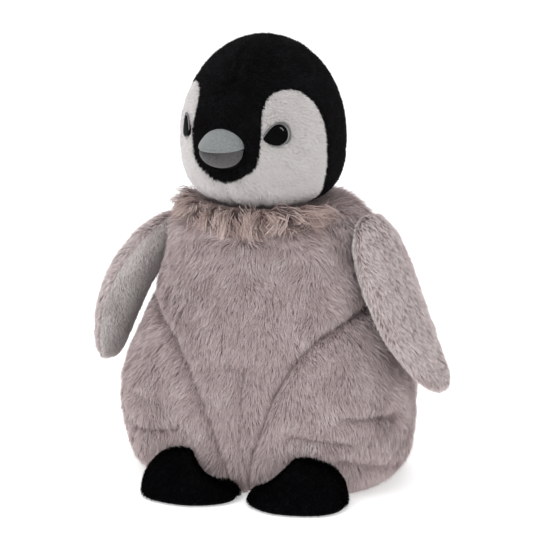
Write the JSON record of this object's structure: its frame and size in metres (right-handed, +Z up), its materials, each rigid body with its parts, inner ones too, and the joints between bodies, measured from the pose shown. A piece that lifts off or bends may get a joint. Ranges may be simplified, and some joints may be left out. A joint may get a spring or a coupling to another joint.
{
  "type": "plush penguin",
  "caption": "Stuffed penguin chick toy with long-pile taupe body, black and white head, felt beak, sewn flippers and feet, sitting on a flat base.",
  "frame": {"origin": "middle of the flat base that the toy sits on", "axes": "+Z up, -Y the way that the body faces, +X the toy's own left"},
  "size_m": [0.24, 0.2127, 0.2999],
  "materials": {
    "taupe_fur": "long pile",
    "flipper_lining": "short pile",
    "ruff_fur": "long clumped pile",
    "black_plush": "short pile",
    "white_plush": "short pile",
    "grey_felt": "brushed",
    "eye_thread": "satin stitch",
    "stuffing": "fibre",
    "pellet_cloth": "woven",
    "label_tape": "satin tape"
  },
  "bodies": {
    "torso": {"belly_panel_left": "taupe_fur", "belly_panel_right": "taupe_fur", "thigh_panel_left": "taupe_fur", "thigh_panel_right": "taupe_fur", "back_panel_left": "taupe_fur", "back_panel_right": "taupe_fur", "base_panel": "taupe_fur", "torso_stuffing": "stuffing", "pellet_bag": "pellet_cloth", "tail": "taupe_fur", "care_label": "label_tape"},
    "neck": {"neck_roll": "stuffing", "neck_ruff": "ruff_fur"},
    "head": {"forehead_panel_left": "black_plush", "forehead_panel_right": "black_plush", "cheek_panel_left": "white_plush", "cheek_panel_right": "white_plush", "crown_panel_left": "black_plush", "crown_panel_right": "black_plush", "head_stuffing": "stuffing", "beak_upper": "grey_felt", "beak_lower": "grey_felt", "eye_left": "eye_thread", "eye_right": "eye_thread"},
    "flipper_left": {"flipper_left_outer": "taupe_fur", "flipper_left_inner": "flipper_lining", "flipper_left_stuffing": "stuffing"},
    "flipper_right": {"flipper_right_outer": "taupe_fur", "flipper_right_inner": "flipper_lining", "flipper_right_stuffing": "stuffing"},
    "foot_left": {"foot_left_upper": "black_plush", "foot_left_sole": "black_plush", "foot_left_stuffing": "stuffing"},
    "foot_right": {"foot_right_upper": "black_plush", "foot_right_sole": "black_plush", "foot_right_stuffing": "stuffing"}
  },
  "joints": [
    {"name": "head_turn", "type": "hinge", "parent": "torso", "child": "neck", "pos_m": [0, -0.018, 0.186], "axis": [0, 0, 1], "range_deg": [-23, 47], "stiffness_Nm_per_rad": 0.1},
    {"name": "head_nod", "type": "hinge", "parent": "neck", "child": "head", "pos_m": [0, -0.018, 0.19], "axis": [0.9781, -0.2079, 0], "range_deg": [-5, 6], "stiffness_Nm_per_rad": 0.4},
    {"name": "flipper_left_flap", "type": "hinge", "parent": "torso", "child": "flipper_left", "pos_m": [0.071, -0.014, 0.177], "axis": [0, -1, 0], "range_deg": [0, 70]},
    {"name": "flipper_right_flap", "type": "hinge", "parent": "torso", "child": "flipper_right", "pos_m": [-0.067, -0.014, 0.171], "axis": [0, 1, 0], "range_deg": [0, 60]},
    {"name": "foot_left_lift", "type": "hinge", "parent": "torso", "child": "foot_left", "pos_m": [0.0415, -0.075, 0.033], "axis": [-0.9903, -0.1392, 0], "range_deg": [0, 25]},
    {"name": "foot_right_lift", "type": "hinge", "parent": "torso", "child": "foot_right", "pos_m": [-0.0315, -0.075, 0.033], "axis": [-0.9903, 0.1392, 0], "range_deg": [0, 25]}
  ]
}
